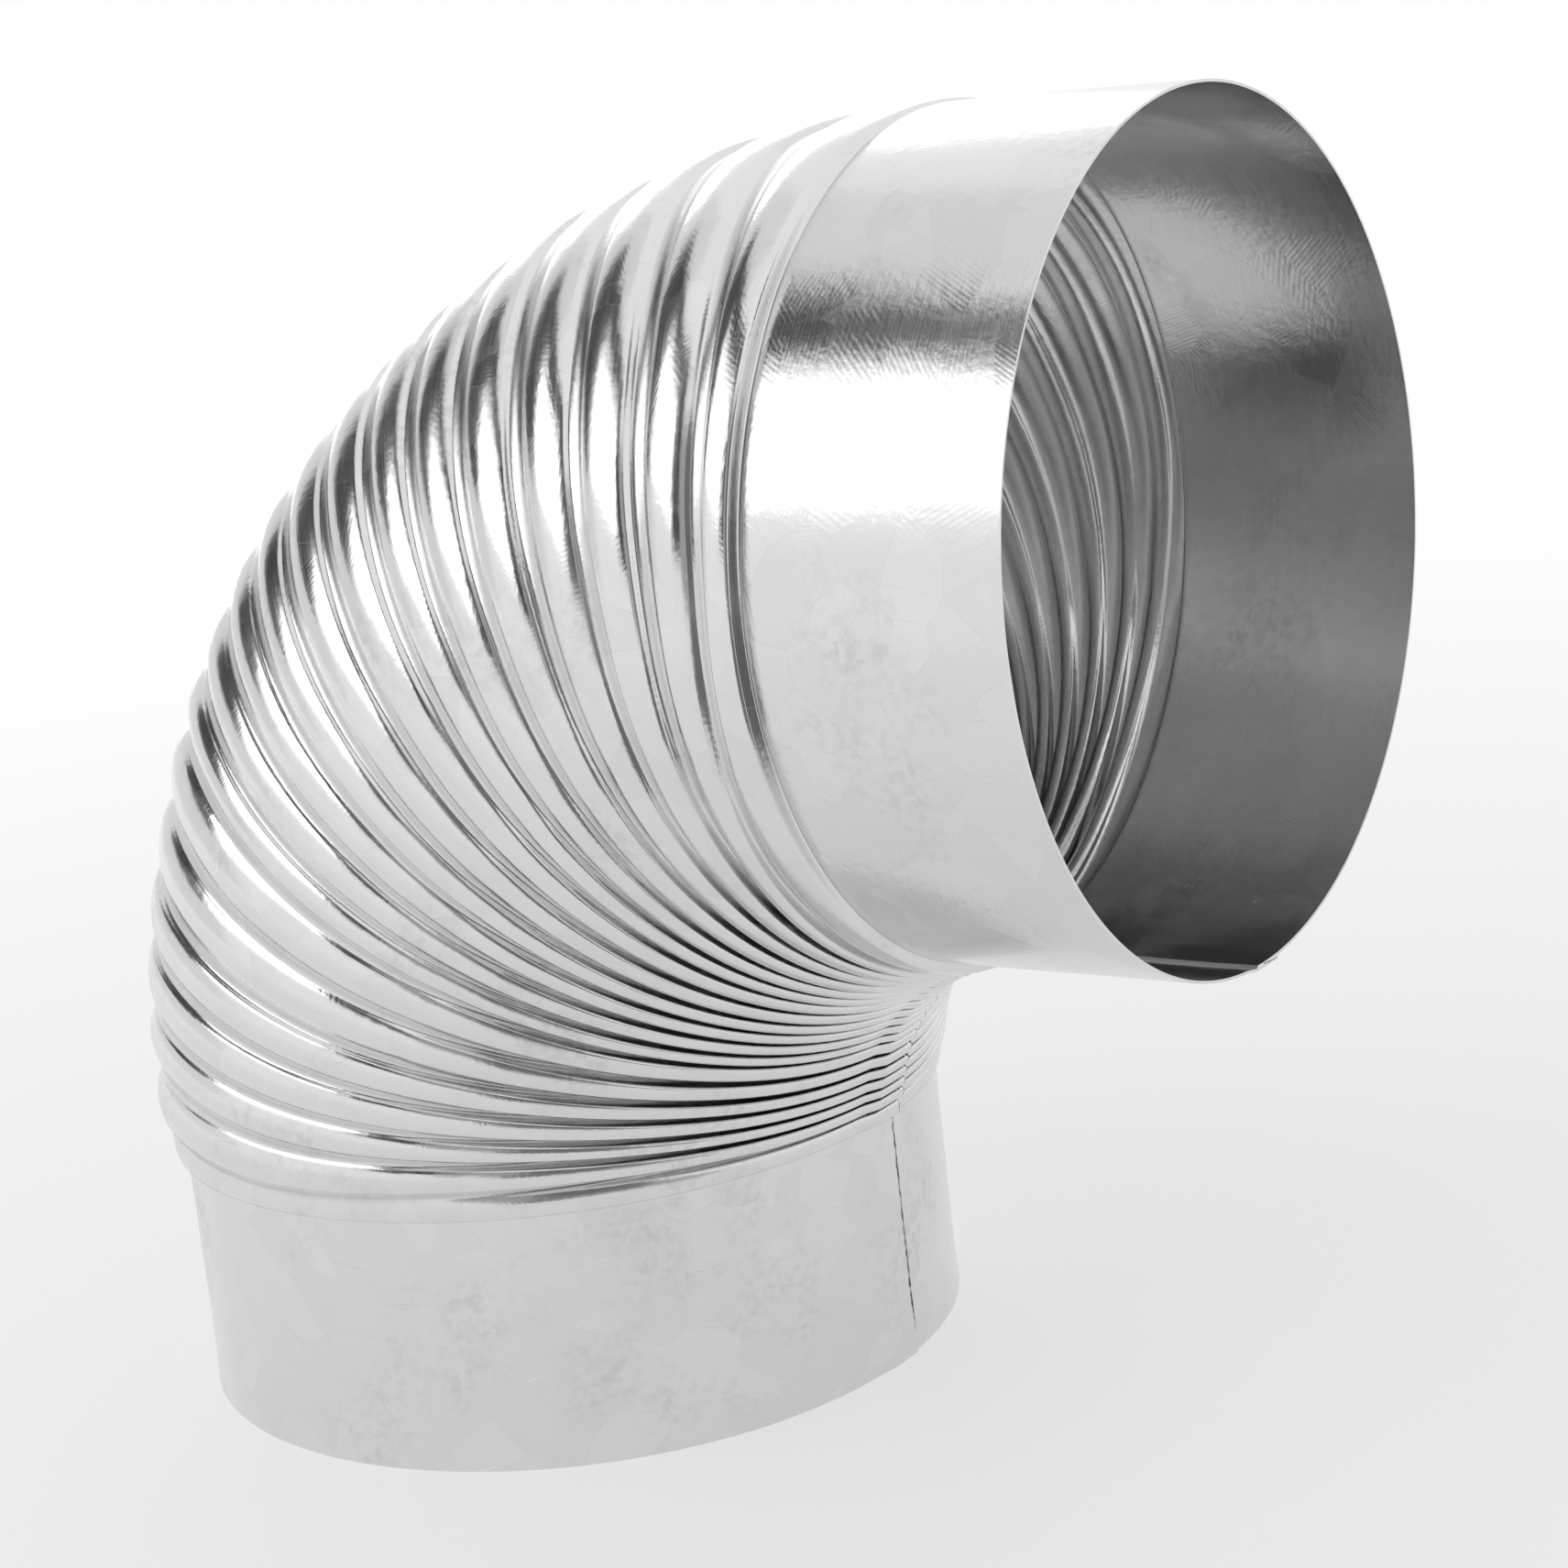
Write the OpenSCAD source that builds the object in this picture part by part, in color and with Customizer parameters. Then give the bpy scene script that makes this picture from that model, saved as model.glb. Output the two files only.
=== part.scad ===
// Corrugated 90 degree elbow for round stove pipe: one rolled and seam-welded
// sheet, pleated to make the bend, with a plain collar at each end.
// Origin: centre of the socket's lower rim. +Z runs up the socket, and the
// spigot points along +X.

/* [Sheet] */
// Thickness of the galvanised sheet
sheet_t = 0.4; // [0.35:0.05:0.6]

/* [Collars] */
// Outer diameter of the upper collar, the spigot, which slides into the next pipe
spigot_d = 120; // [100:1:130]
// Gap all round between a spigot and the socket that takes it
socket_gap = 0.1; // [0.05:0.05:0.4]
// Length of the lower collar, the socket
socket_len = 39; // [25:1:80]
// Length of the upper collar, the spigot
spigot_len = 38; // [25:1:80]
// Rise of the shoulder where each collar meets the first pleat
shoulder_rise = 0.9; // [0.7:0.1:1.2]

/* [Bend] */
// Radius of the bend, from its centre to the middle of the pipe
bend_r = 90; // [88:1:140]
// Number of pleats in the bend
pleats = 19; // [12:1:20]

/* [Pleats] */
// How far the crests stand out from the collars on the outside of the bend
crest_out = 1.4; // [1.2:0.1:3]
// How far they stand out at its throat
crest_throat = 2.2; // [1.4:0.1:4]
// How far they stand out at its sides, where the section is widest
crest_side = 3.8; // [1.4:0.1:5]
// Fall from a crest to the edges of its pleat on the outside of the bend
crown_out = 0.5; // [0.3:0.1:0.8]
// Fall from a crest to the edges of its fin at the throat
crown_throat = 0.2; // [0.1:0.05:0.4]
// Depth of the grooves on the outside of the bend
groove_out = 1.8; // [1.2:0.1:4]
// Depth of the grooves at its throat, where the sheet is gathered
groove_throat = 5.5; // [3:0.1:7]
// Width of a groove at its root
root_w = 0.6; // [0.4:0.1:0.8]
// Width of a groove at its mouth on the outside of the bend
mouth_out = 3.6; // [2:0.1:5]
// Width of a groove at its mouth at the throat
mouth_throat = 0.9; // [0.8:0.05:1]

/* [Hidden] */
spigot_r = spigot_d / 2;
bore_r = spigot_r + socket_gap;
socket_r = bore_r + sheet_t;
arc = 90;
pitch = arc / pleats;
around = 32;        // sides of the bend's sections
stations = 5;       // rings in one pleat: root, edge, crest, edge, root
rings = stations * pleats + 2;
lap = sheet_t / 2;  // how far the bend's ends run into the shoulders
seat = shoulder_rise - 0.1; // the bend's ends lie just under the shoulders' rims

$fn = 96;

// The size of the pipe that the bend's section is built on, along the bend.
function base_at(theta) = socket_r + (spigot_r - socket_r) * theta / arc;

// A value that runs from the throat (angle 0) to the outside (angle 180).
function blend(at_throat, at_out, angle) =
  (at_throat + at_out) / 2 + (at_throat - at_out) / 2 * cos(angle);

// How far the crests stand out at an angle round the section.
function crest_at(angle) = blend(crest_throat, crest_out, angle)
  + (crest_side - (crest_throat + crest_out) / 2) * pow(sin(angle), 2);

// Fall from the crest at each level: 0 a groove's root, 1 a pleat's edge, 2 its crest.
function fall_at(level, angle) =
  level == 2 ? 0 :
  level == 1 ? blend(crown_throat, crown_out, angle) :
  blend(groove_throat, groove_out, angle);

// Half the width of the groove at each level.
function gap_at(level, angle) =
  level == 0 ? root_w / 2 : blend(mouth_throat, mouth_out, angle) / 2;

// Which pleat ring i belongs to, its level there, and its side of the crest.
function pleat_of(i) = floor((i - 1) / stations);
function level_of(i) = 2 - abs((i - 1) % stations - 2);
function side_of(i) = sign((i - 1) % stations - 2);

// The two rings at each end of the bend stand in the collars' shoulders.
function is_end(i) = i <= 1 || i >= rings - 2;

// A point at angle theta along the bend: x toward the bend's centre, y across
// it, and ahead the distance past the section, along the pipe.
function bent(theta, x, y, ahead = 0) =
  let (reach = bend_r - x)
  [bend_r - reach * cos(theta) + ahead * sin(theta), y,
   socket_len + reach * sin(theta) + ahead * cos(theta)];

// A point of an end ring. The first ring of all and the last are the lapped ones.
function end_point(i, angle, inset) =
  let (upper = i > 1, theta = upper ? arc : 0,
       ahead = i == 0 ? -lap : i == rings - 1 ? lap : 0,
       r = base_at(theta) + seat - inset)
  bent(theta, r * cos(angle), r * sin(angle), ahead);

// A point of a pleat's ring. The inner skin lies one sheet inside the outer,
// down from the crest and in from the sides of the pleat.
function pleat_point(i, angle, inset) =
  let (level = level_of(i), middle = pitch * (pleat_of(i) + 0.5),
       r = base_at(middle) + crest_at(angle) - fall_at(level, angle) - inset,
       reach = bend_r - r * cos(angle),
       half = reach * pitch / 2 * PI / 180,
       along = level == 2 ? 0 : side_of(i) * (half - gap_at(level, angle) - inset))
  bent(middle + along / reach * 180 / PI, r * cos(angle), r * sin(angle));

function skin(inset) = [
  for (i = [0:rings - 1], j = [0:around - 1])
    let (angle = 360 * j / around)
    is_end(i) ? end_point(i, angle, inset) : pleat_point(i, angle, inset)
];

// The two triangles between ring i and the next, at side j.
function patch(i, j, start, outer) =
  let (a = start + i * around + j, b = start + i * around + (j + 1) % around,
       c = a + around, d = b + around)
  outer ? [[a, d, b], [a, c, d]] : [[a, b, d], [a, d, c]];

// The rims that close the sheet at the bend's ends.
function rim(ring, inner, last) =
  let (start = ring * around)
  [for (j = [0:around - 1])
    let (a = start + j, b = start + (j + 1) % around)
    each last ? [[a, inner + a, inner + b], [a, inner + b, b]]
              : [[a, inner + b, inner + a], [a, b, inner + b]]];

module pleated_bend() {
  inner = rings * around;
  grid = [for (i = [0:rings - 2], j = [0:around - 1]) [i, j]];
  polyhedron(
    concat(skin(0), skin(sheet_t)),
    concat([for (g = grid) each patch(g[0], g[1], 0, true)],
           [for (g = grid) each patch(g[0], g[1], inner, false)],
           rim(0, inner, false), rim(rings - 1, inner, true)));
}

// A collar from its open end, at z = 0, to the shoulder of the first pleat.
module collar(r, length) {
  rotate_extrude() {
    translate([r - sheet_t, 0]) square([sheet_t, length]);
    translate([r - sheet_t, length - sheet_t]) square([shoulder_rise + sheet_t, sheet_t]);
  }
}

module elbow() {
  color("silver") {
    collar(socket_r, socket_len);
    pleated_bend();
    translate([bend_r + spigot_len, 0, socket_len + bend_r]) rotate([0, -90, 0])
      collar(spigot_r, spigot_len);
  }
}

elbow();
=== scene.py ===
import math

import bpy
import numpy as np
from mathutils import Matrix, Vector


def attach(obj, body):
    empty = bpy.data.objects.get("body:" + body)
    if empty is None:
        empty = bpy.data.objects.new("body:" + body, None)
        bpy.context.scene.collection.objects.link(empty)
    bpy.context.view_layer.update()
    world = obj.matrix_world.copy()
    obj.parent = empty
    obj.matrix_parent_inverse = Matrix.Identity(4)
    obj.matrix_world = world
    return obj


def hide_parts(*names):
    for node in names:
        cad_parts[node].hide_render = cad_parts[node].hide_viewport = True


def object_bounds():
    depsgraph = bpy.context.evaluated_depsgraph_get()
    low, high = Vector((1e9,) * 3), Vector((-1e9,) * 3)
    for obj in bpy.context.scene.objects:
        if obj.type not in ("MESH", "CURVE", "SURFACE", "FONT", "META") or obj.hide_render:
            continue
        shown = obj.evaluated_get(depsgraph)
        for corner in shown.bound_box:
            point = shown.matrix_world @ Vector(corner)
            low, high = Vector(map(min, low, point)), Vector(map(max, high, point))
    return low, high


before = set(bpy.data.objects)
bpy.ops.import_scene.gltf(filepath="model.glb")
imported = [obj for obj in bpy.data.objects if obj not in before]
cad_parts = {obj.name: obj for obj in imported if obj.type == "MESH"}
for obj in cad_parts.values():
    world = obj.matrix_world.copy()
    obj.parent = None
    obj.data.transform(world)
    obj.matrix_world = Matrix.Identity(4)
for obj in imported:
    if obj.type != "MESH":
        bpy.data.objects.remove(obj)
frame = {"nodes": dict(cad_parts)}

mm = 0.001
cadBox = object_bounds()
print("frame loaded:", ", ".join(frame["nodes"]))

# ---- the sheet elbow, in millimetres and degrees
elbow = {
    "sheetThickness": 0.4,
    "spigotRadius": 60.0,
    "socketRadius": 60.5,
    "socketLength": 39.0,
    "spigotLength": 38.0,
    "bendRadius": 90.0,
    "pleatCount": 19,            # besides the narrow band over the socket
    # how far each groove has slipped towards the spigot, in pitches
    "grooveSlips": (0.50, 0.50, 0.35, 0.30, 0.25, 0.40, 0.60, 0.40, 0.30, 0.20, 0.10, 0.15,
                    0.20, 0.10, 0.10, 0.20, 0.30, 0.40, 0.40),
    "slipAngles": (165.0, 115.0),     # no slip beyond the first, all of it from the second
    "endsKeepWidth": (0.7, 1.2),      # pitches that the end pleats gain at the throat
    "crestOutside": 1.0,              # how far the crests stand proud of the collars
    "crestSides": 4.1,
    "crestThroat": 2.3,
    "flatness": 12,                   # how squarely the section turns from its outside to its sides
    "startPleats": (0.35, 0.75, 0.9),  # the collars hold the first and last pleats in
    "endPleats": (0.55, 0.8),
    "crownShare": 0.64,               # of each pleat's width
    "floorShare": 0.20,               # of that width, at the bottom of the groove
    "crownFall": 0.072,               # a crest's drop to its edge, over the width
    "grooveDepth": 0.140,             # the groove's depth, over the width
    "foldDepth": 5.3,                 # what the folding adds to it at the throat
    "foldFrom": 84.0,                 # the folding starts this far from the throat
    "floorSlope": 0.12,               # the groove's floor falls to a fine crease
    "unevenHeight": 0.12,             # from pleat to pleat, as the rolls leave them
    "unevenFall": 0.25,
    "unevenWaves": (0.12, 0.06, 0.03),  # of 2, 5 and 11 turns round the pipe
    "wobble": 0.05,                   # slow waves in the collars
    "rimFlare": 0.35,                 # the socket's rim is opened a little
    "seamAngle": 4.2,                 # round the pipe from its throat
    "lapWidth": 6.0,
    "lapStand": 1.9,                  # the lap stands higher where it is pleated
    "columns": 150,
    "seed": 7,
}


def easeInOut(x):
    x = np.clip(x, 0.0, 1.0)
    return x * x * (3.0 - 2.0 * x)


def angleFrom(angle, start):
    return (angle - start + np.pi) % (2 * np.pi) - np.pi


def pipeRadiusAt(theta):  # the collars differ by one sheet and a fit
    share = theta / math.radians(90)
    return elbow["socketRadius"] + (elbow["spigotRadius"] - elbow["socketRadius"]) * share


def crestRise(angle, pleat):
    turn = np.degrees(np.abs(angleFrom(angle, 0.0)))
    spread = elbow["crestSides"] - elbow["crestOutside"]
    outer = elbow["crestOutside"] + spread * (1 - np.cos(angle) ** elbow["flatness"])
    towardsSides = easeInOut((turn - 30) / 60)
    inner = elbow["crestThroat"] + (elbow["crestSides"] - elbow["crestThroat"]) * towardsSides
    rise = np.where(turn > 90, outer, inner)
    start, end = elbow["startPleats"] + (1.0,), elbow["endPleats"] + (1.0,)
    hold = min(start[min(pleat, len(start) - 1)], end[min(elbow["pleatCount"] - pleat, len(end) - 1)])
    return elbow["crestOutside"] * min(1.0, hold * 2) + (rise - elbow["crestOutside"]) * hold


def rollMarks():  # each pleat's own small errors, the same in every run
    rng = np.random.default_rng(elbow["seed"])
    count = elbow["pleatCount"] + 1
    return {
        "height": rng.normal(0, elbow["unevenHeight"], count),
        "fall": rng.uniform(1 - elbow["unevenFall"], 1 + elbow["unevenFall"], count),
        "phase": rng.uniform(0, 2 * math.pi, (count, 3)),
        "wave": rng.uniform(0.4, 1.0, (count, 3)) * elbow["unevenWaves"],
    }


marks = rollMarks()


def grooveAt(angle, groove):  # its place along the bend, in pitches from the socket
    count = elbow["pleatCount"]
    if groove == 0 or groove == count + 1:
        return np.full_like(angle, 0.0 if groove == 0 else count)
    turn = np.degrees(np.abs(angleFrom(angle, 0.0)))
    first, last = elbow["slipAngles"]
    slip = elbow["grooveSlips"][groove - 1] * easeInOut((first - turn) / (first - last))
    place = np.maximum(groove - 1 + slip, 0.16)
    share = (groove - 1) / (count - 1)
    gain = easeInOut((100 - turn) / 70)
    atSocket, atSpigot = elbow["endsKeepWidth"]
    return place + gain * (atSocket * (1 - share) - atSpigot * share)


def crestRadius(angle, pleat):
    wave = sum(marks["wave"][pleat][i] * np.sin((2, 5, 11)[i] * angle + marks["phase"][pleat][i])
               for i in range(3))
    away = np.where(np.cos(angle) < 0.3, 1.0, 0.3)
    along = math.radians(90) * pleat / elbow["pleatCount"]
    return pipeRadiusAt(along) + crestRise(angle, pleat) + (marks["height"][pleat] + wave) * away


def lapLift(angle, inner):  # the overlap of the welded seam, one sheet high
    seam = math.radians(elbow["seamAngle"])
    lap = math.radians(elbow["lapWidth"])
    back = -angleFrom(angle, seam)
    edge = lap if inner else 0.0
    climb = easeInOut((lap * 1.5 - back) / (lap * 0.5))
    return np.where(back > edge, climb, 0.0) * elbow["sheetThickness"]


def bent(theta, x, y):
    reach = elbow["bendRadius"] - x
    return np.stack([elbow["bendRadius"] - reach * np.cos(theta), y,
                     elbow["socketLength"] + reach * np.sin(theta)], -1)


def collarWave(angle, along):
    slow = np.sin(2 * angle + 0.6 + along / 17)
    return elbow["wobble"] * (slow + 0.6 * np.sin(5 * angle - along / 9 + 2.0)
                              + 0.4 * np.sin(9 * angle + along / 6))


def collarRing(angle, end, distance, inset, inner):  # distance from the collar's open rim
    length = elbow["socketLength"] if end == "socket" else elbow["spigotLength"]
    near = easeInOut((length - distance) / 12) * easeInOut(distance / 6)
    radius = elbow["socketRadius"] if end == "socket" else elbow["spigotRadius"]
    radius = radius + collarWave(angle, distance) * near - inset + lapLift(angle, inner)
    if end == "socket":
        radius = radius + elbow["rimFlare"] * max(0.0, 1 - distance / 12) ** 2
    x, y = radius * np.cos(angle), radius * np.sin(angle)
    if end == "socket":
        return np.stack([x, y, np.full_like(x, distance)], -1)
    height = elbow["socketLength"] + elbow["bendRadius"] - x
    return np.stack([np.full_like(x, elbow["bendRadius"] + length - distance), y, height], -1)


def pleatWidth(angle, pleat):
    pitch = math.radians(90) / elbow["pleatCount"]
    reach = elbow["bendRadius"] - crestRadius(angle, pleat) * np.cos(angle)
    return (grooveAt(angle, pleat + 1) - grooveAt(angle, pleat)) * pitch * reach


def rootRadius(angle, groove):
    count = elbow["pleatCount"]
    if groove == 0 or groove == count + 1:
        return np.full_like(angle, pipeRadiusAt(0.0 if groove == 0 else math.radians(90)))
    turn = np.degrees(np.abs(angleFrom(angle, 0.0)))
    crest = (crestRadius(angle, groove - 1) + crestRadius(angle, groove)) / 2
    width = (pleatWidth(angle, groove - 1) + pleatWidth(angle, groove)) / 2
    folded = elbow["foldDepth"] * easeInOut((elbow["foldFrom"] - turn) / elbow["foldFrom"])
    if groove in (1, count):  # the collars keep the folds beside them shallow
        folded = folded * 0.4
    return crest - width * elbow["grooveDepth"] - folded


def pleatRing(angle, pleat, side, part, share, inset, inner):
    pitch = math.radians(90) / elbow["pleatCount"]
    groove = pleat + (side + 1) // 2
    crest, root = crestRadius(angle, pleat), rootRadius(angle, groove)
    depth = crest - root
    reach = elbow["bendRadius"] - crest * np.cos(angle)
    start, end = grooveAt(angle, pleat), grooveAt(angle, pleat + 1)
    width = (end - start) * pitch * reach
    crown = width * elbow["crownFall"] * marks["fall"][pleat]
    crown = np.minimum(crown, np.maximum(depth, 0.05) * 0.5)  # half of a shallow groove at most
    floor, crownEnd = width * elbow["floorShare"] / 2, width * elbow["crownShare"] / 2
    if groove in (0, elbow["pleatCount"] + 1):  # there a collar begins, and the groove has no floor
        crownEnd, floor = crownEnd + floor, floor * 0.02
    foot = floor * elbow["floorSlope"]
    edgeAt, floorAt = crownEnd - inset, width / 2 - floor - inset
    if part == "crown":
        along, drop = edgeAt * share, crown * share ** 2
    elif part == "flank":
        run, fall = floorAt - edgeAt, depth - foot - crown
        along = edgeAt + run * share
        slopeIn = np.clip(2 * crown / np.maximum(edgeAt, 0.05) * run, 0.0, 1.5 * np.abs(fall))
        slopeOut = np.clip(elbow["floorSlope"] * run, 0.0, 1.5 * np.abs(fall))
        drop = (crown + slopeIn * (share ** 3 - 2 * share ** 2 + share)
                + slopeOut * (share ** 3 - share ** 2) + fall * (3 * share ** 2 - 2 * share ** 3))
    else:
        along, drop = width / 2, depth
    radius = crest - drop - inset + lapLift(angle, inner) * elbow["lapStand"]
    theta = (start + end) / 2 * pitch + side * along / reach
    return bent(theta, radius * np.cos(angle), radius * np.sin(angle))


def columnAngles():
    seam = math.radians(elbow["seamAngle"])
    edges = [seam, seam - math.radians(elbow["lapWidth"])]
    clear, beside = math.radians(0.7), math.radians(0.16)
    angles = np.linspace(0, 2 * np.pi, elbow["columns"], endpoint=False)
    far = [a for a in angles if min(abs(angleFrom(a, e)) for e in edges) > clear]
    near = [e + d for e in edges for d in (-beside, beside)]
    return np.sort(np.mod(np.array(far + near), 2 * np.pi))


def ringList(inner):  # from the socket's rim, round the bend, to the spigot's rim
    socket = [0, 0.5, 2, 5, 10, 16, 22, 28, 33, 36.5, 38.3]
    spigot = [36.6, 34.5, 31, 26, 20, 14, 9, 5, 2, 0.5, 0]
    crown = [0.5, 1.0] if inner else [0.25, 0.5, 0.75, 1.0]
    flank = [0.4, 1.0] if inner else [0.2, 0.45, 0.72, 1.0]
    rings = [("collar", "socket", d, 0) for d in socket]
    rings.append(("pleat", 0, -1, ("root", 1.0)))
    for pleat in range(elbow["pleatCount"] + 1):
        rings += [("pleat", pleat, -1, ("flank", s)) for s in reversed(flank)]
        rings += [("pleat", pleat, -1, ("crown", s)) for s in reversed(crown)]
        rings.append(("pleat", pleat, 1, ("crown", 0.0)))
        rings += [("pleat", pleat, 1, ("crown", s)) for s in crown]
        rings += [("pleat", pleat, 1, ("flank", s)) for s in flank]
        rings.append(("pleat", pleat, 1, ("root", 1.0)))
    rings += [("collar", "spigot", d, 0) for d in spigot]
    return rings


def creaseShadeAt(ring):  # 0 on a crown, 1 in a root: the mask for the painted shade in the groove roots
    if ring[0] == "collar":
        return 0.0
    part, share = ring[3]
    return {"crown": 0.2 * share ** 2, "flank": 0.3 + 0.5 * share, "root": 1.0}[part]


def skinPoints(rings, angles, inner):
    inset = elbow["sheetThickness"] if inner else 0.0
    rows = []
    for kind, first, second, third in rings:
        if kind == "collar":
            rows.append(collarRing(angles, first, second, inset, inner))
        else:
            part, share = third
            rows.append(pleatRing(angles, first, second, part, share, inset, inner))
    return np.stack(rows) * mm


def stripFaces(rows, columns, first, flip):
    grid = first + np.arange(rows * columns).reshape(rows, columns)
    beside = np.roll(grid, -1, axis=1)
    faces = np.stack([grid[:-1], beside[:-1], beside[1:], grid[1:]], -1).reshape(-1, 4)
    return faces[:, ::-1] if flip else faces


def rimFaces(outer, inner, flip):
    faces = np.stack([outer, np.roll(outer, -1), np.roll(inner, -1), inner], -1)
    return faces[:, ::-1] if flip else faces


def pleatedElbow():
    angles = columnAngles()
    columns = len(angles)
    outerRings, innerRings = ringList(False), ringList(True)
    outer, inner = skinPoints(outerRings, angles, False), skinPoints(innerRings, angles, True)
    outRows, inRows = len(outerRings), len(innerRings)
    first = outRows * columns
    column = np.arange(columns)
    faces = np.concatenate([
        stripFaces(outRows, columns, 0, False),
        stripFaces(inRows, columns, first, True),
        rimFaces(column, first + column, True),
        rimFaces(first - columns + column, first + (inRows - 1) * columns + column, False),
    ])
    mesh = bpy.data.meshes.new("pleatedElbow")
    points = np.concatenate([outer.reshape(-1, 3), inner.reshape(-1, 3)])
    mesh.from_pydata(points.tolist(), [], faces.tolist())
    mesh.update()
    layFlatPattern(mesh, outerRings + innerRings, angles, outRows)
    markSharpEdges(mesh, outRows, inRows, angles)
    piece = bpy.data.objects.new("pleatedElbow", mesh)
    bpy.context.collection.objects.link(piece)
    return piece


def alongSheet(ring):  # distance along the unrolled sheet, from the socket's rim
    bendLength = math.radians(90) * elbow["bendRadius"]
    if ring[0] == "collar":
        past = elbow["socketLength"] + bendLength + elbow["spigotLength"]
        return ring[2] if ring[1] == "socket" else past - ring[2]
    pleat, side, (part, share) = ring[1], ring[2], ring[3]
    place = {"crown": 0.6 * share, "flank": 0.6 + 0.3 * share, "root": 1.0}[part]
    return elbow["socketLength"] + bendLength * (pleat + 0.5 + side * place / 2) / (elbow["pleatCount"] + 1)


def layFlatPattern(mesh, rings, angles, outRows):  # the sheet unrolled, in metres, and the mask for the painted shade in its grooves
    columns = len(angles)
    along = np.array([alongSheet(r) for r in rings]) * mm
    around = angles * elbow["spigotRadius"] * mm
    loops = np.empty(len(mesh.loops), dtype=np.int32)
    mesh.loops.foreach_get("vertex_index", loops)
    ring, column = loops // columns, loops % columns
    ofFace = column.reshape(-1, 4)
    wraps = np.repeat(ofFace.max(1) - ofFace.min(1) > columns / 2, 4)
    turn = 2 * np.pi * elbow["spigotRadius"] * mm
    u = around[column] + np.where(wraps & (column < columns / 2), turn, 0.0)
    pattern = mesh.uv_layers.new(name="flatPattern")
    pattern.data.foreach_set("uv", np.stack([u, along[ring]], -1).ravel())
    creaseShadeMask = mesh.attributes.new("creaseShadeMask", "FLOAT", "POINT")
    creaseShadeMask.data.foreach_set("value", np.repeat([creaseShadeAt(r) for r in rings], columns))
    inside = mesh.attributes.new("inside", "FLOAT", "POINT")
    inside.data.foreach_set("value", np.repeat(np.arange(len(rings)) >= outRows, columns).astype(float))


def markSharpEdges(mesh, outRows, inRows, angles):  # the cut rims and the lap's edges
    mesh.polygons.foreach_set("use_smooth", np.ones(len(mesh.polygons), dtype=bool))
    columns = len(angles)
    ends = np.empty(len(mesh.edges) * 2, dtype=np.int32)
    mesh.edges.foreach_get("vertices", ends)
    ring, column = ends.reshape(-1, 2) // columns, ends.reshape(-1, 2) % columns
    sameRing = ring[:, 0] == ring[:, 1]
    rim = sameRing & np.isin(ring[:, 0], (0, outRows - 1, outRows, outRows + inRows - 1))
    seam = math.radians(elbow["seamAngle"])
    steps = [seam, seam - math.radians(elbow["lapWidth"])]
    beside = np.array([min(abs(angleFrom(a, s)) for s in steps) < math.radians(0.3) for a in angles])
    lap = (column[:, 0] == column[:, 1]) & beside[column[:, 0]]
    sharp = mesh.attributes.new("sharp_edge", "BOOLEAN", "EDGE")
    sharp.data.foreach_set("value", rim | lap)


# ---- galvanised steel: bright zinc over a rolled sheet
zinc = {
    "brightColor": (0.755, 0.757, 0.762),
    # the dull zinc of dust and crystals, which is also the colour of the painted shade in the groove roots
    "dullAndShadeColor": (0.40, 0.405, 0.415),
    "roughness": 0.15,
    "grainAlong": 4200.0,        # per metre along the pipe: the rolls ran round it
    "grainAround": 45.0,
    "grainDepth": 0.000006,
    "fleckSize": 0.0016,
    "fleckDepth": 0.00003,
    "spangleSize": 0.008,
    "facetTilt": 0.012,          # each crystal leans a little its own way
    "featherSpacing": 0.0007,
    "featherDepth": 0.0000016,
    "crystalTone": 0.09,
    "smudgeSize": 0.03,
    "smudgeRange": (0.52, 0.74),
    # painted shade: how far the groove roots are darkened towards the dull colour
    "creaseShadeAmount": 0.45,
    # painted shadow along the lap's edges: its width, waver, breaks per metre and colour
    "lapShadowWidth": 0.0011,
    "lapShadowWaver": 0.0009,
    "lapShadowBreaks": 700.0,         # per metre
    "lapShadowColor": (0.05, 0.05, 0.052),
}


def addNode(tree, kind, place, **settings):
    node = tree.nodes.new(kind)
    node.location = place
    for name, value in settings.items():
        setattr(node, name, value)
    return node


def setSockets(node, **values):
    for name, value in values.items():
        node.inputs[name.replace("_", " ")].default_value = value
    return node


def stretchRange(tree, source, low, high, newLow, newHigh, place):
    node = addNode(tree, "ShaderNodeMapRange", place, clamp=True)
    for socket, value in (("From Min", low), ("From Max", high), ("To Min", newLow), ("To Max", newHigh)):
        node.inputs[socket].default_value = value
    tree.links.new(source, node.inputs["Value"])
    return node.outputs["Result"]


def mathNode(tree, operation, first, second, place):
    node = addNode(tree, "ShaderNodeMath", place, operation=operation)
    for socket, value in zip(node.inputs, (first, second)):
        if isinstance(value, (int, float)):
            socket.default_value = value
        else:
            tree.links.new(value, socket)
    return node.outputs[0]


def texture(tree, kind, vector, place, **sockets):
    settings = {k: sockets.pop(k) for k in ("noise_dimensions", "feature") if k in sockets}
    node = setSockets(addNode(tree, kind, place, **settings), **sockets)
    tree.links.new(vector, node.inputs["Vector"])
    return node


def rollGrain(tree, sheet):
    scaled = addNode(tree, "ShaderNodeMapping", (-1400, 500))
    scaled.inputs["Scale"].default_value = (zinc["grainAround"], zinc["grainAlong"], 1.0)
    tree.links.new(sheet, scaled.inputs["Vector"])
    return texture(tree, "ShaderNodeTexNoise", scaled.outputs["Vector"], (-1200, 500),
                   noise_dimensions="2D", Scale=1.0, Detail=3.0, Roughness=0.6).outputs["Fac"]


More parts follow.
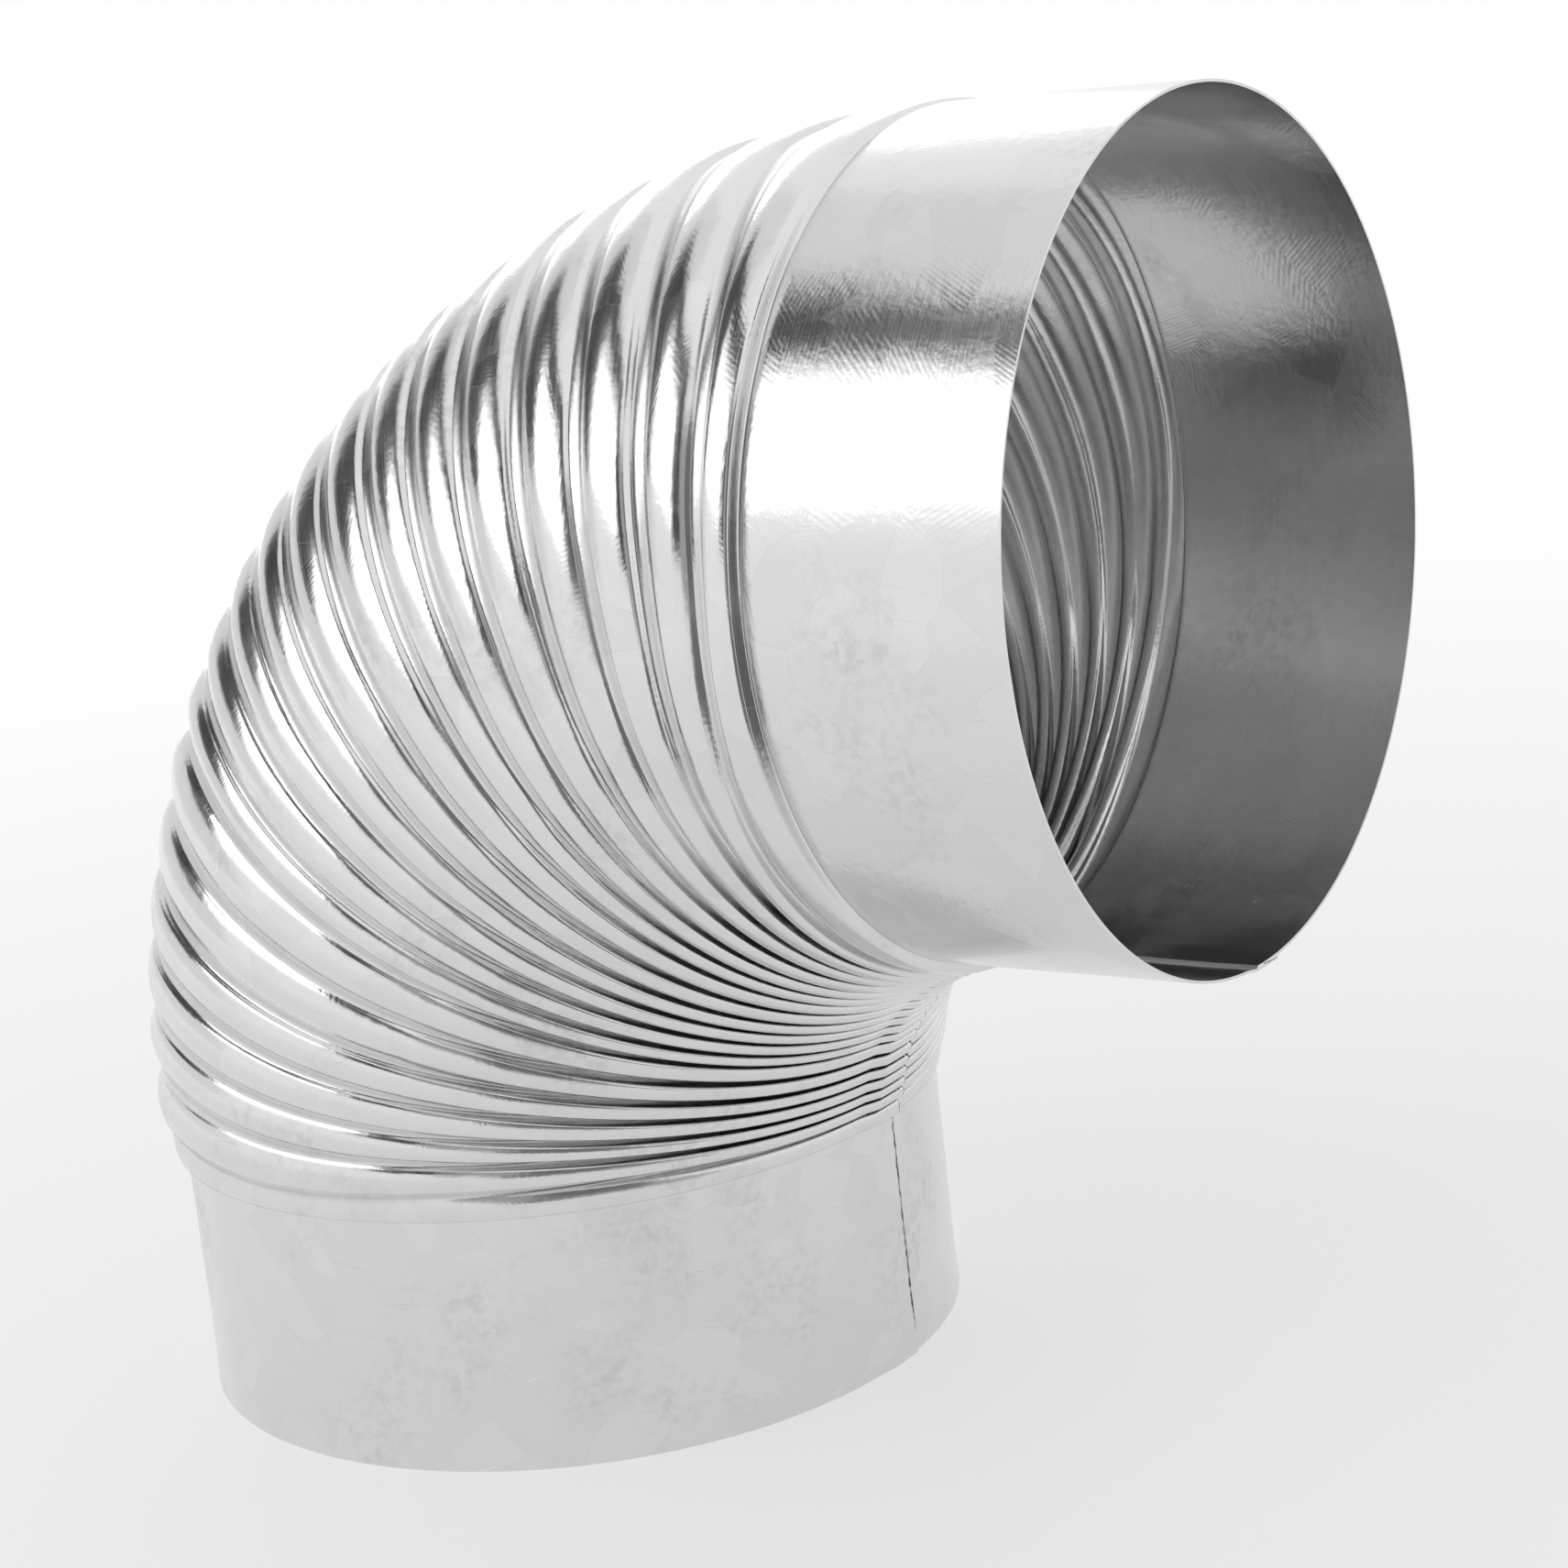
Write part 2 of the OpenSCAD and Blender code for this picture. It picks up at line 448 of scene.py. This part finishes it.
def spangleHeight(tree, solid):  # each crystal is a leaning facet, finely feathered its own way
    cells = texture(tree, "ShaderNodeTexVoronoi", solid, (-1400, -100), feature="F1",
                    Scale=1 / zinc["spangleSize"], Randomness=1.0)
    lean = addNode(tree, "ShaderNodeVectorMath", (-1200, -100), operation="SUBTRACT")
    lean.inputs[1].default_value = (0.5, 0.5, 0.5)
    tree.links.new(cells.outputs["Color"], lean.inputs[0])
    fromMiddle = addNode(tree, "ShaderNodeVectorMath", (-1200, -250), operation="SUBTRACT")
    tree.links.new(solid, fromMiddle.inputs[0])
    tree.links.new(cells.outputs["Position"], fromMiddle.inputs[1])
    slope = addNode(tree, "ShaderNodeVectorMath", (-1000, -150), operation="DOT_PRODUCT")
    tree.links.new(lean.outputs[0], slope.inputs[0])
    tree.links.new(fromMiddle.outputs[0], slope.inputs[1])
    facet = mathNode(tree, "MULTIPLY", slope.outputs["Value"], zinc["facetTilt"], (-800, -150))
    phase = mathNode(tree, "MULTIPLY", slope.outputs["Value"],
                     4 * math.pi / zinc["featherSpacing"], (-800, -300))
    feather = mathNode(tree, "MULTIPLY", mathNode(tree, "SINE", phase, 0.0, (-650, -300)),
                       zinc["featherDepth"], (-500, -300))
    return mathNode(tree, "ADD", facet, feather, (-350, -200)), cells.outputs["Color"]


def lapShadowMask(tree, sheet, noise):  # painted shadow: a dark, broken line along the lap's edges, where the lapped sheet's edge throws its shade
    parts = addNode(tree, "ShaderNodeSeparateXYZ", (-1400, -700))
    tree.links.new(sheet, parts.inputs["Vector"])
    seam = math.radians(elbow["seamAngle"]) * elbow["spigotRadius"] * mm
    lap = math.radians(elbow["lapWidth"]) * elbow["spigotRadius"] * mm
    inside = addNode(tree, "ShaderNodeAttribute", (-1400, -900), attribute_name="inside")
    moved = mathNode(tree, "MULTIPLY", inside.outputs["Fac"], lap, (-1200, -900))
    around = mathNode(tree, "ADD", parts.outputs["X"], moved, (-1000, -800))
    centred = mathNode(tree, "SUBTRACT", noise, 0.5, (-1000, -650))
    waver = mathNode(tree, "MULTIPLY", centred, zinc["lapShadowWaver"], (-850, -650))
    around = mathNode(tree, "ADD", around, waver, (-850, -800))
    width = zinc["lapShadowWidth"]
    off = mathNode(tree, "SUBTRACT", around, seam + width * 0.2, (-700, -800))
    off = mathNode(tree, "ABSOLUTE", off, 0.0, (-550, -800))
    line = stretchRange(tree, off, width * 0.35, width * 0.6, 1.0, 0.0, (-400, -800))
    broken = stretchRange(tree, noise, 0.33, 0.42, 0.35, 1.0, (-400, -650))
    rimEnd = stretchRange(tree, parts.outputs["Y"], 0.003, 0.005, 0.0, 1.0, (-400, -1000))
    line = mathNode(tree, "MULTIPLY", line, broken, (-200, -750))
    return mathNode(tree, "MULTIPLY", line, rimEnd, (-50, -800))


def galvanisedSteel():
    material = bpy.data.materials.new("galvanisedSteel")
    material.use_nodes = True
    tree = material.node_tree
    tree.nodes.clear()
    link = tree.links.new
    output = addNode(tree, "ShaderNodeOutputMaterial", (1500, 0))
    metal = addNode(tree, "ShaderNodeBsdfPrincipled", (1200, 0))
    metal.inputs["Metallic"].default_value = 1.0
    link(metal.outputs["BSDF"], output.inputs["Surface"])
    sheet = addNode(tree, "ShaderNodeUVMap", (-1700, 300), uv_map="flatPattern").outputs["UV"]
    solid = addNode(tree, "ShaderNodeTexCoord", (-1700, -200)).outputs["Object"]

    grain = rollGrain(tree, sheet)
    flecks = texture(tree, "ShaderNodeTexNoise", solid, (-1200, 200), Scale=1 / zinc["fleckSize"],
                     Detail=2.5, Roughness=0.55).outputs["Fac"]
    facets, crystals = spangleHeight(tree, solid)
    smudge = texture(tree, "ShaderNodeTexNoise", solid, (-1200, -450), Scale=1 / zinc["smudgeSize"],
                     Detail=7.0, Roughness=0.66).outputs["Fac"]
    smudges = stretchRange(tree, smudge, *zinc["smudgeRange"], 0.0, 1.0, (-1000, -450))
    broken = texture(tree, "ShaderNodeTexNoise", solid, (-1200, -600), Scale=zinc["lapShadowBreaks"], Detail=2.0)
    # painted shadow along the lap's edges, which also roughens the zinc there
    lapShadow = lapShadowMask(tree, sheet, broken.outputs["Fac"])
    # painted shade: the groove roots are darkened as if shade fell in the creases; the same mask roughens
    # them
    creaseShadeMask = addNode(tree, "ShaderNodeAttribute", (-1200, 700), attribute_name="creaseShadeMask").outputs["Fac"]
    creaseShade = stretchRange(tree, creaseShadeMask, 0.72, 1.0, 0.0, zinc["creaseShadeAmount"], (-1000, 700))
    crystal = addNode(tree, "ShaderNodeSeparateColor", (-350, 0))
    link(crystals, crystal.inputs["Color"])

    specks = stretchRange(tree, flecks, 0.45, 0.6, 0.05, 0.45, (-350, 150))
    dust = mathNode(tree, "MULTIPLY", smudges, specks, (-100, 100))
    # dust and crystal tone are the zinc's own; the crease mask adds painted shade in the groove roots
    dustCrystalsAndCreaseShade = mathNode(tree, "ADD", dust, creaseShade, (50, 100))
    crystalTone = mathNode(tree, "MULTIPLY", crystal.outputs["Red"], zinc["crystalTone"], (50, 0))
    dustCrystalsAndCreaseShade = mathNode(tree, "ADD", dustCrystalsAndCreaseShade, crystalTone, (200, 50))
    tone = addNode(tree, "ShaderNodeMix", (400, 100), data_type="RGBA", clamp_factor=True)
    tone.inputs["A"].default_value = (*zinc["brightColor"], 1.0)
    tone.inputs["B"].default_value = (*zinc["dullAndShadeColor"], 1.0)
    link(dustCrystalsAndCreaseShade, tone.inputs["Factor"])
    # the painted shadow along the lap's edges is mixed into the zinc's colour
    lapShadowed = addNode(tree, "ShaderNodeMix", (600, 100), data_type="RGBA", clamp_factor=True)
    lapShadowed.inputs["B"].default_value = (*zinc["lapShadowColor"], 1.0)
    link(tone.outputs["Result"], lapShadowed.inputs["A"])
    link(lapShadow, lapShadowed.inputs["Factor"])
    link(lapShadowed.outputs["Result"], metal.inputs["Base Color"])

    rough = stretchRange(tree, grain, 0.3, 0.7, zinc["roughness"] - 0.02, zinc["roughness"] + 0.04,
                         (200, 400))
    for source, amount, place in ((smudges, 0.10, 300), (crystal.outputs["Green"], 0.05, 400),
                                  (creaseShade, 0.25, 500), (lapShadow, 0.4, 600)):
        added = mathNode(tree, "MULTIPLY", source, amount, (place, 550))
        rough = mathNode(tree, "ADD", rough, added, (place, 400))
    link(rough, metal.inputs["Roughness"])

    height = mathNode(tree, "MULTIPLY", grain, zinc["grainDepth"], (400, -200))
    fleckHeight = mathNode(tree, "MULTIPLY", flecks, zinc["fleckDepth"], (400, -350))
    height = mathNode(tree, "ADD", height, fleckHeight, (600, -250))
    height = mathNode(tree, "ADD", height, facets, (750, -250))
    bump = addNode(tree, "ShaderNodeBump", (950, -250))
    setSockets(bump, Strength=1.0, Distance=1.0)
    link(height, bump.inputs["Height"])
    link(bump.outputs["Normal"], metal.inputs["Normal"])
    return material


# ---- the studio: a white sweep, a framed window of light and black flags
studio = {
    "worldLight": 0.60,
    "floorColor": (0.90, 0.90, 0.90),
    "floorGlow": (0.55, 1.0),        # how white the floor looks, near the part and far off
    "floorFade": (0.10, 0.75),       # metres from the part's middle
    # azimuth, elevation, width and height in degrees, and brightness
    "softboxes": {
        "windowLight": (-131.0, 34.0, 46.0, 17.0, 1.45),
        "windowFoot": (-131.0, 21.5, 46.0, 8.0, 1.12),
        "backLight": (134.0, 18.0, 32.0, 46.0, 1.05),
    },
    "distance": 1.3,
    # azimuth from, to, elevation from, to, and how bright the cloth is
    "flags": {
        "leftFlag": (-192.0, -160.0, 13.0, 52.0, 0.05),
        "rightFlag": (-104.0, -84.0, 10.0, 52.0, 0.04),
        "topFlag": (-170.0, -84.0, 47.0, 57.0, 0.03),
        "sideCard": (-84.0, -60.0, -6.0, 40.0, 0.42),
        "cameraCard": (-60.0, -26.0, -6.0, 36.0, 0.16),
        "farCard": (-30.0, -2.0, 40.0, 60.0, 0.16),
        "backWall": (-210.0, -150.0, -12.0, 75.0, 0.84),   # behind the left flag
    },
    # a grey cloth on the floor: azimuth and metres from the part, height and brightness
    "floorCloth": {"azimuths": (-70.0, -14.0), "from": 0.24, "to": 1.3, "height": 0.001,
                   "brightness": 0.17},
}


def towards(azimuth, elevation):
    a, e = math.radians(azimuth), math.radians(elevation)
    return Vector((math.cos(a) * math.cos(e), math.sin(a) * math.cos(e), math.sin(e)))


def boxMiddle():
    low, high = cadBox
    return (Vector(low) + Vector(high)) / 2


def curvedPanel(name, azimuths, elevations, distance):
    columns, rows = 16, 12
    middle = boxMiddle()
    verts = [middle + towards(azimuths[0] + (azimuths[1] - azimuths[0]) * i / columns,
                              elevations[0] + (elevations[1] - elevations[0]) * j / rows) * distance
             for j in range(rows + 1) for i in range(columns + 1)]
    faces = [(k, k + 1, k + columns + 2, k + columns + 1)
             for j in range(rows) for k in range(j * (columns + 1), j * (columns + 1) + columns)]
    mesh = bpy.data.meshes.new(name)
    mesh.from_pydata([tuple(v) for v in verts], [], faces)
    panel = bpy.data.objects.new(name, mesh)
    bpy.context.collection.objects.link(panel)
    return panel


def flagCloth(name, brightness):
    material = bpy.data.materials.new(name)
    material.use_nodes = True
    tree = material.node_tree
    tree.nodes.clear()
    cloth = setSockets(addNode(tree, "ShaderNodeEmission", (0, 0)), Color=(1, 1, 1, 1), Strength=brightness)
    output = addNode(tree, "ShaderNodeOutputMaterial", (200, 0))
    tree.links.new(cloth.outputs[0], output.inputs["Surface"])
    return material


def seenOnlyInMetal(panel, brightness):
    panel.data.materials.append(flagCloth(panel.name, brightness))
    panel.visible_camera = False
    panel.visible_diffuse = False
    panel.visible_shadow = False


def hangFlags():
    for place, (name, (left, right, low, high, brightness)) in enumerate(studio["flags"].items()):
        flag = curvedPanel(name, (left, right), (low, high), studio["distance"] * (1.1 + 0.01 * place))
        seenOnlyInMetal(flag, brightness)


def layFloorCloth():
    middle, cloth = boxMiddle(), studio["floorCloth"]
    columns = 16
    first, last = (math.radians(a) for a in cloth["azimuths"])
    angles = [first + (last - first) * i / columns for i in range(columns + 1)]
    verts = [(middle.x + reach * math.cos(a), middle.y + reach * math.sin(a), cloth["height"])
             for reach in (cloth["from"], cloth["to"]) for a in angles]
    faces = [(i, i + columns + 1, i + columns + 2, i + 1) for i in range(columns)]
    mesh = bpy.data.meshes.new("floorCloth")
    mesh.from_pydata(verts, [], faces)
    panel = bpy.data.objects.new("floorCloth", mesh)
    bpy.context.collection.objects.link(panel)
    seenOnlyInMetal(panel, cloth["brightness"])


def hangSoftboxes():
    middle, distance = boxMiddle(), studio["distance"]
    for name, (azimuth, elevation, width, height, brightness) in studio["softboxes"].items():
        light = bpy.data.lights.new(name, "AREA")
        light.shape = "RECTANGLE"
        light.size, light.size_y = (2 * distance * math.tan(math.radians(s / 2)) for s in (width, height))
        light.energy = brightness * math.pi * light.size * light.size_y
        lamp = bpy.data.objects.new(name, light)
        direction = towards(azimuth, elevation)
        lamp.location = middle + direction * distance
        lamp.rotation_euler = direction.to_track_quat("Z", "Y").to_euler()
        bpy.context.collection.objects.link(lamp)


def seenDirectly(tree):  # 1 where the eye, a mirror or a glass meets the surface
    path = addNode(tree, "ShaderNodeLightPath", (-900, 300))
    camera, glossy, through = (path.outputs["Is " + k + " Ray"] for k in ("Camera", "Glossy", "Transmission"))
    seen = mathNode(tree, "MAXIMUM", camera, glossy, (-700, 300))
    return mathNode(tree, "MAXIMUM", seen, through, (-500, 300))


def whiteWorld():
    world = bpy.data.worlds.new("whiteSweep")
    bpy.context.scene.world = world
    world.use_nodes = True
    tree = world.node_tree
    tree.nodes.clear()
    output = addNode(tree, "ShaderNodeOutputWorld", (400, 0))
    mix = addNode(tree, "ShaderNodeMixShader", (200, 0))
    soft = setSockets(addNode(tree, "ShaderNodeBackground", (-100, 0)), Color=(1, 1, 1, 1),
                      Strength=studio["worldLight"])
    white = setSockets(addNode(tree, "ShaderNodeBackground", (-100, -150)), Color=(1, 1, 1, 1),
                       Strength=1.0)
    tree.links.new(seenDirectly(tree), mix.inputs["Fac"])
    tree.links.new(soft.outputs[0], mix.inputs[1])
    tree.links.new(white.outputs[0], mix.inputs[2])
    tree.links.new(mix.outputs[0], output.inputs["Surface"])


def paleFloor():
    middle = boxMiddle()
    rings, sides, reach = 24, 96, 6.0
    verts = [(middle.x, middle.y, 0.0)]
    for i in range(1, rings + 1):
        radius = reach * (i / rings) ** 2
        verts += [(middle.x + radius * math.cos(2 * math.pi * j / sides),
                   middle.y + radius * math.sin(2 * math.pi * j / sides), 0.0) for j in range(sides)]
    faces = [(0, 1 + j, 1 + (j + 1) % sides) for j in range(sides)]
    for i in range(rings - 1):
        start = 1 + i * sides
        after = [(j + 1) % sides for j in range(sides)]
        faces += [(start + j, start + sides + j, start + sides + after[j], start + after[j])
                  for j in range(sides)]
    mesh = bpy.data.meshes.new("paleFloor")
    mesh.from_pydata(verts, [], faces)
    floor = bpy.data.objects.new("paleFloor", mesh)
    bpy.context.collection.objects.link(floor)
    floor.data.materials.append(floorPaint())
    return floor


def floorPaint():  # matt near the part, so that its shadow stays, and plain white far off
    material = bpy.data.materials.new("floorPaint")
    material.use_nodes = True
    tree = material.node_tree
    tree.nodes.clear()
    output = addNode(tree, "ShaderNodeOutputMaterial", (600, 0))
    matt = setSockets(addNode(tree, "ShaderNodeBsdfDiffuse", (0, 0)), Color=(*studio["floorColor"], 1.0))
    white = setSockets(addNode(tree, "ShaderNodeEmission", (0, -150)), Color=(1, 1, 1, 1), Strength=1.0)
    place = addNode(tree, "ShaderNodeNewGeometry", (-900, 0))
    middle = boxMiddle()
    offset = addNode(tree, "ShaderNodeVectorMath", (-700, 0), operation="DISTANCE")
    offset.inputs[1].default_value = (middle.x, middle.y, 0.0)
    tree.links.new(place.outputs["Position"], offset.inputs[0])
    away = offset.outputs["Value"]
    glow = stretchRange(tree, away, *studio["floorFade"], *studio["floorGlow"], (-500, 0))
    mix = addNode(tree, "ShaderNodeMixShader", (300, 0))
    tree.links.new(mathNode(tree, "MULTIPLY", glow, seenDirectly(tree), (-200, 100)), mix.inputs["Fac"])
    tree.links.new(matt.outputs[0], mix.inputs[1])
    tree.links.new(white.outputs[0], mix.inputs[2])
    tree.links.new(mix.outputs[0], output.inputs["Surface"])
    return material


# ---- the camera, at the photograph's angle
view = {
    "azimuth": 35.65,
    "elevation": 12.99,
    "roll": -6.24,
    "distance": 9.06,            # in collar radii, as the aim is
    "aim": (0.53, 1.44),         # rightward and upward offset of the picture's middle
    "focalShare": 3606 / 1711,   # focal length over the picture's width
    "sensor": 36.0,
}


def placeCamera():
    radius = elbow["spigotRadius"] * mm
    azimuth, elevation, roll = (math.radians(view[k]) for k in ("azimuth", "elevation", "roll"))
    back = Vector((math.sin(azimuth) * math.cos(elevation), -math.cos(azimuth) * math.cos(elevation),
                   math.sin(elevation)))
    level = Vector((math.cos(azimuth), math.sin(azimuth), 0.0))
    above = back.cross(level)
    right = level * math.cos(roll) + above * math.sin(roll)
    up = above * math.cos(roll) - level * math.sin(roll)
    eye = (back * view["distance"] + right * view["aim"][0] + up * view["aim"][1]) * radius
    lens = bpy.data.cameras.new("photoCamera")
    lens.sensor_width = view["sensor"]
    lens.lens = view["sensor"] * view["focalShare"]
    lens.clip_start, lens.clip_end = 0.01, 50.0
    camera = bpy.data.objects.new("photoCamera", lens)
    camera.matrix_world = Matrix((right, up, back)).transposed().to_4x4()
    camera.location = eye
    bpy.context.collection.objects.link(camera)
    bpy.context.scene.camera = camera


placeCamera()
print("camera placed")
piece = pleatedElbow()
piece.data.materials.append(galvanisedSteel())
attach(piece, "root")
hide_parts("elbow")
print("elbow made:", len(piece.data.polygons), "faces")
whiteWorld()
paleFloor()
hangSoftboxes()
hangFlags()
layFloorCloth()
scene = bpy.context.scene
scene.view_settings.view_transform = "Standard"
print("studio set")
